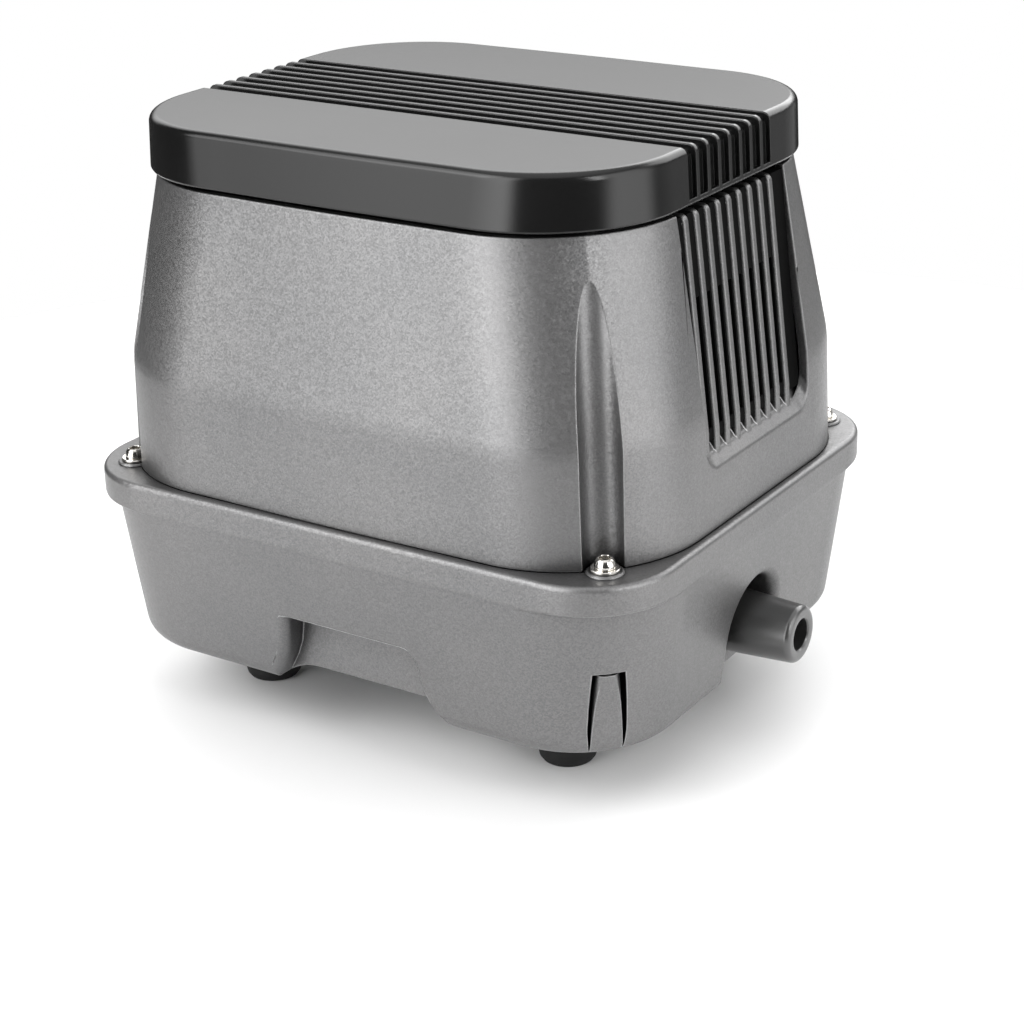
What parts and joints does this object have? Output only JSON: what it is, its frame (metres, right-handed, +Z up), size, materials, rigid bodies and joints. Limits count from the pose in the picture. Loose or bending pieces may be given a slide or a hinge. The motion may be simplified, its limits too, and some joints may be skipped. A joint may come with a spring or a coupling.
{
  "type": "air pump",
  "caption": "Linear diaphragm air pump: black grooved lid over a tapered silver housing with finned vents, cast base tank with rubber feet, side outlet sleeve and rear cord.",
  "frame": {"origin": "on the floor under the middle of the whole pump, outlet sleeve and cord included", "axes": "+Z up, +X towards the air outlet, +Y towards the power cord at the back"},
  "size_m": [0.2184, 0.2102, 0.1914],
  "materials": {
    "lid_plastic": "satin, fine moulded grain",
    "foam": "open-cell foam",
    "casting": "silver-grey metallic paint with fine sparkle",
    "vent_plastic": "satin",
    "screw_steel": "bright stainless",
    "gasket_rubber": "matte",
    "plain_aluminium": "as cast",
    "foot_rubber": "matte",
    "nipple_plastic": "satin",
    "sleeve_rubber": "satin",
    "core_steel": "varnished laminations",
    "nylon": "natural nylon",
    "copper_wire": "enamelled copper wire",
    "magnet": "ferrite",
    "diaphragm_rubber": "matte",
    "lead_wire": "insulated wire",
    "cord_rubber": "satin",
    "plug_brass": "plated"
  },
  "bodies": {
    "housing": {"upper_housing": "casting", "vent_liner_right": "vent_plastic", "vent_liner_left": "vent_plastic", "housing_screws": "screw_steel", "housing_washers": "screw_steel", "housing_gasket": "gasket_rubber", "lower_housing": "casting", "tank_gasket": "gasket_rubber", "tank_plate": "plain_aluminium", "tank_screws": "screw_steel", "rubber_feet": "foot_rubber", "foot_screws": "screw_steel", "outlet_nipple": "nipple_plastic", "outlet_sleeve": "sleeve_rubber", "isolators": "gasket_rubber", "isolator_screws": "screw_steel", "motor_frame": "plain_aluminium", "stator_core_front": "core_steel", "stator_core_rear": "core_steel", "bobbin_front": "nylon", "bobbin_rear": "nylon", "coil_front": "copper_wire", "coil_rear": "copper_wire", "core_screws": "screw_steel", "pump_head_right": "nylon", "pump_head_left": "nylon", "valve_plate_right": "plain_aluminium", "valve_plate_left": "plain_aluminium", "head_cover_right": "nylon", "head_cover_left": "nylon", "head_screws": "screw_steel", "air_hose_right": "gasket_rubber", "air_hose_left": "gasket_rubber", "terminal_block": "nylon", "inner_leads": "lead_wire", "cord_grommet": "cord_rubber", "power_cord": "cord_rubber", "plug_body": "cord_rubber", "plug_pins": "plug_brass"},
    "lid": {"lid": "lid_plastic"},
    "filter": {"filter_foam": "foam"},
    "armature": {"magnet_carrier": "plain_aluminium", "magnets": "magnet", "armature_studs": "screw_steel", "clamp_discs": "plain_aluminium", "stud_nuts": "screw_steel", "diaphragm_right": "diaphragm_rubber", "diaphragm_left": "diaphragm_rubber"},
    "intake_flap_right": {"intake_flap_right": "diaphragm_rubber"},
    "intake_flap_left": {"intake_flap_left": "diaphragm_rubber"},
    "exhaust_flap_right": {"exhaust_flap_right": "diaphragm_rubber"},
    "exhaust_flap_left": {"exhaust_flap_left": "diaphragm_rubber"}
  },
  "joints": [
    {"name": "lid_lift", "type": "slide", "parent": "housing", "child": "lid", "axis": [0, 0, 1], "range_m": [0, 0.09]},
    {"name": "filter_lift", "type": "slide", "parent": "housing", "child": "filter", "axis": [0, 0, 1], "range_m": [0, 0.0405]},
    {"name": "armature_slide", "type": "slide", "parent": "housing", "child": "armature", "axis": [1, 0, 0], "range_m": [-0.0015, 0.0015], "stiffness_N_per_m": 4000, "deforming": ["diaphragm_right", "diaphragm_left"]},
    {"name": "intake_valve_right", "type": "hinge", "parent": "housing", "child": "intake_flap_right", "pos_m": [0.0597, -0.0379, 0.112], "axis": [0, 0, 1], "range_deg": [0, 10]},
    {"name": "intake_valve_left", "type": "hinge", "parent": "housing", "child": "intake_flap_left", "pos_m": [-0.0723, -0.0379, 0.112], "axis": [0, 0, -1], "range_deg": [0, 10]},
    {"name": "exhaust_valve_right", "type": "hinge", "parent": "housing", "child": "exhaust_flap_right", "pos_m": [0.0627, 0.0001, 0.112], "axis": [0, 0, 1], "range_deg": [0, 10]},
    {"name": "exhaust_valve_left", "type": "hinge", "parent": "housing", "child": "exhaust_flap_left", "pos_m": [-0.0753, 0.0001, 0.112], "axis": [0, 0, -1], "range_deg": [0, 10]}
  ],
  "couplings": [
    {"joint": "filter_lift", "follows": "lid_lift", "ratio": 0.45}
  ]
}
